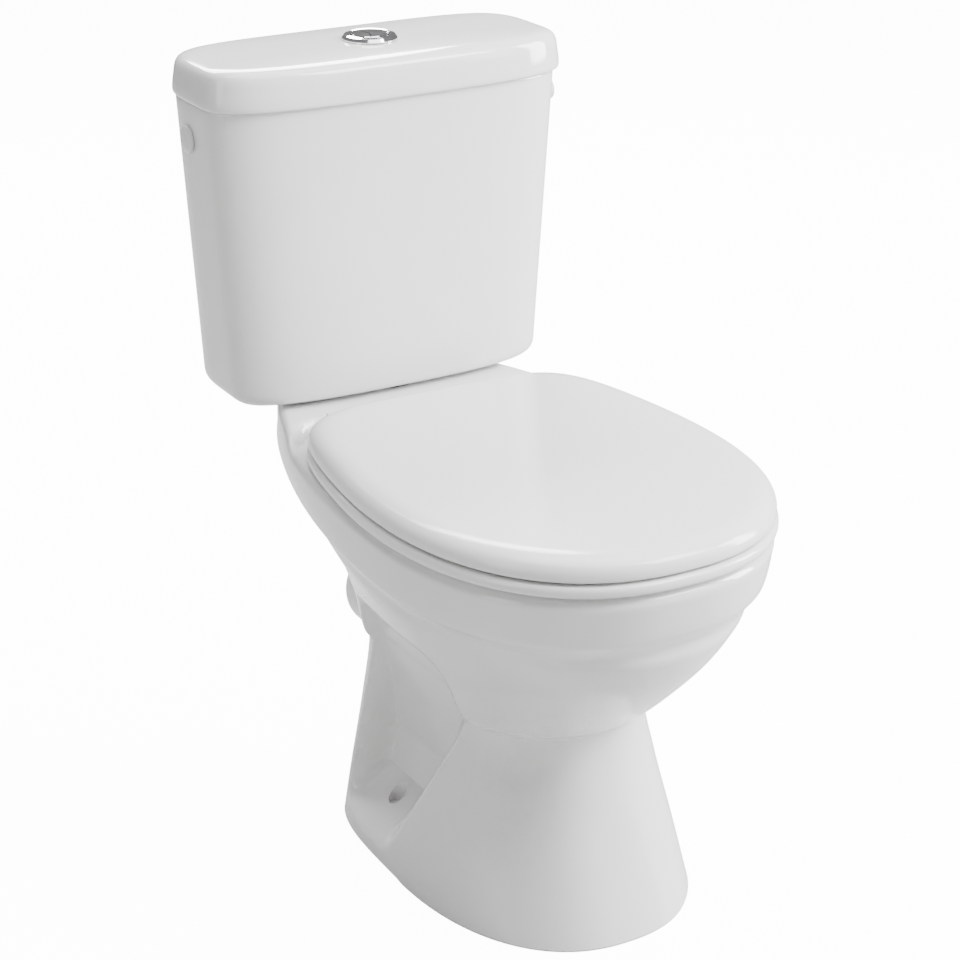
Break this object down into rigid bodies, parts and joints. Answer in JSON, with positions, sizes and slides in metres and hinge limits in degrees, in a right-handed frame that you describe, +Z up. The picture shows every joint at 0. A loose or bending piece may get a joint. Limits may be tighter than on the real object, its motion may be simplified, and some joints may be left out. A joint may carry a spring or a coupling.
{
  "type": "close coupled toilet",
  "caption": "Close coupled toilet: glazed pan with rear outlet and recessed sides, tapered cistern with split push button, hinged seat ring and domed seat lid.",
  "frame": {"origin": "on the floor, midway between the two floor fixing holes", "axes": "+Z up, -Y towards the front of the bowl, +Y towards the wall, +X to the side with the water inlet"},
  "size_m": [0.4125, 0.66, 0.763],
  "materials": {
    "glazed_china": "glossy white glaze",
    "white_seat_plastic": "moulded gloss",
    "white_plastic": "moulded",
    "grey_plastic": "moulded",
    "blue_plastic": "moulded",
    "black_rubber": "matt",
    "chrome": "polished",
    "plated_steel": "zinc plated"
  },
  "bodies": {
    "toilet": {"pan": "glazed_china", "doughnut_washer": "black_rubber", "coupling_bolts": "plated_steel", "coupling_cone_washers": "black_rubber", "coupling_pan_washers": "black_rubber", "coupling_steel_washers": "plated_steel", "coupling_wing_nuts": "plated_steel", "cistern_body": "glazed_china", "inlet_plug": "white_plastic", "inlet_plug_washer": "black_rubber", "inlet_plug_nut": "grey_plastic", "fill_valve_body": "white_plastic", "fill_valve_inner_washer": "black_rubber", "fill_valve_outer_washer": "black_rubber", "fill_valve_backnut": "grey_plastic", "fill_valve_silencer_tube": "grey_plastic", "float_arm_pin": "plated_steel", "flush_valve_body": "grey_plastic", "flush_valve_washer": "black_rubber", "flush_valve_backnut": "grey_plastic", "flush_valve_head": "blue_plastic", "hinge_posts": "chrome", "hinge_pins": "chrome", "hinge_studs": "plated_steel", "hinge_cone_washers": "black_rubber", "hinge_wing_nuts": "white_plastic"},
    "seat": {"seat_ring": "white_seat_plastic", "seat_bumpers": "grey_plastic"},
    "lid": {"seat_lid": "white_seat_plastic", "lid_bumpers": "grey_plastic"},
    "cistern_cover": {"cistern_lid": "glazed_china", "button_ring": "chrome", "button_sleeve": "grey_plastic", "button_clamp_nut": "grey_plastic"},
    "half_button": {"half_flush_button": "chrome", "half_flush_rod": "white_plastic", "half_flush_spring": "plated_steel"},
    "full_button": {"full_flush_button": "chrome", "full_flush_rod": "white_plastic", "full_flush_spring": "plated_steel"},
    "valve_plunger": {"flush_plunger": "white_plastic", "flush_seal": "black_rubber", "overflow_tube": "grey_plastic"},
    "float": {"float_arm": "grey_plastic", "fill_float": "white_plastic"}
  },
  "joints": [
    {"name": "seat_hinge", "type": "hinge", "parent": "toilet", "child": "seat", "pos_m": [0, 0.104, 0.4115], "axis": [-1, 0, 0], "range_deg": [0, 91.5]},
    {"name": "lid_hinge", "type": "hinge", "parent": "seat", "child": "lid", "pos_m": [0, 0.104, 0.4115], "axis": [1, 0, 0], "range_deg": [-91.5, 0]},
    {"name": "cistern_lid_lift", "type": "slide", "parent": "toilet", "child": "cistern_cover", "axis": [0, 0, 1], "range_m": [0, 0.12]},
    {"name": "half_flush_press", "type": "slide", "parent": "cistern_cover", "child": "half_button", "axis": [0, 0, -1], "range_m": [0, 0.008], "stiffness_N_per_m": 250, "springref_m": -0.004, "deforming": ["half_flush_spring"]},
    {"name": "full_flush_press", "type": "slide", "parent": "cistern_cover", "child": "full_button", "axis": [0, 0, -1], "range_m": [0, 0.008], "stiffness_N_per_m": 400, "springref_m": -0.005, "deforming": ["full_flush_spring"]},
    {"name": "valve_lift", "type": "slide", "parent": "toilet", "child": "valve_plunger", "axis": [0, 0, 1], "range_m": [0, 0.02]},
    {"name": "float_arm_hinge", "type": "hinge", "parent": "toilet", "child": "float", "pos_m": [0.125, 0.2, 0.672], "axis": [0, 1, 0], "range_deg": [0, 20]}
  ],
  "couplings": [
    {"joint": "valve_lift", "follows": "full_flush_press", "ratio": 2.5}
  ]
}
